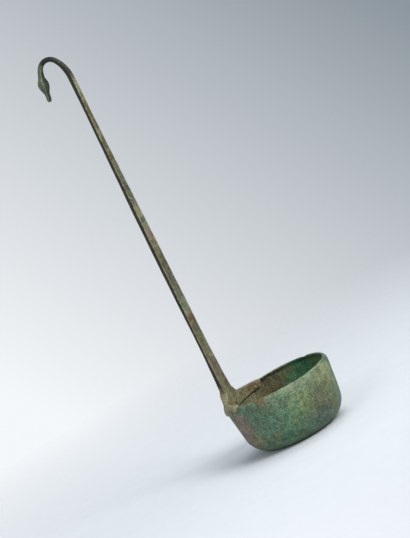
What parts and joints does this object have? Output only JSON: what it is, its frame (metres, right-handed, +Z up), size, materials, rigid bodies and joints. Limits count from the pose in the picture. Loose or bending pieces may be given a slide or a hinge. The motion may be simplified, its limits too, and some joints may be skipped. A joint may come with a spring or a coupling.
{
  "type": "ladle",
  "caption": "Upright bronze dipping ladle: a deep round bowl with a turned-in lip, a tall strap handle clasped to the rim and a hooked end shaped as a duck's head.",
  "frame": {"origin": "centre of the bowl's flat base", "axes": "+Z up along the bowl's axis and the handle; -X towards the handle, whose hook curls away from the bowl; the longer arm of the clasp lies to -Y"},
  "size_m": [0.102, 0.0844, 0.3296],
  "materials": {
    "bowl_bronze": "bronze with a thick green and brown patina, matt",
    "handle_bronze": "bronze with an olive, brown and black patina, worn paler on its edges",
    "rivet_bronze": "bronze with an olive patina, rubbed on the heads"
  },
  "bodies": {
    "root": {"bowl": "bowl_bronze", "handle": "handle_bronze", "rivet_foot": "rivet_bronze", "rivet_far_arm": "rivet_bronze", "rivet_near_arm": "rivet_bronze"}
  },
  "joints": []
}
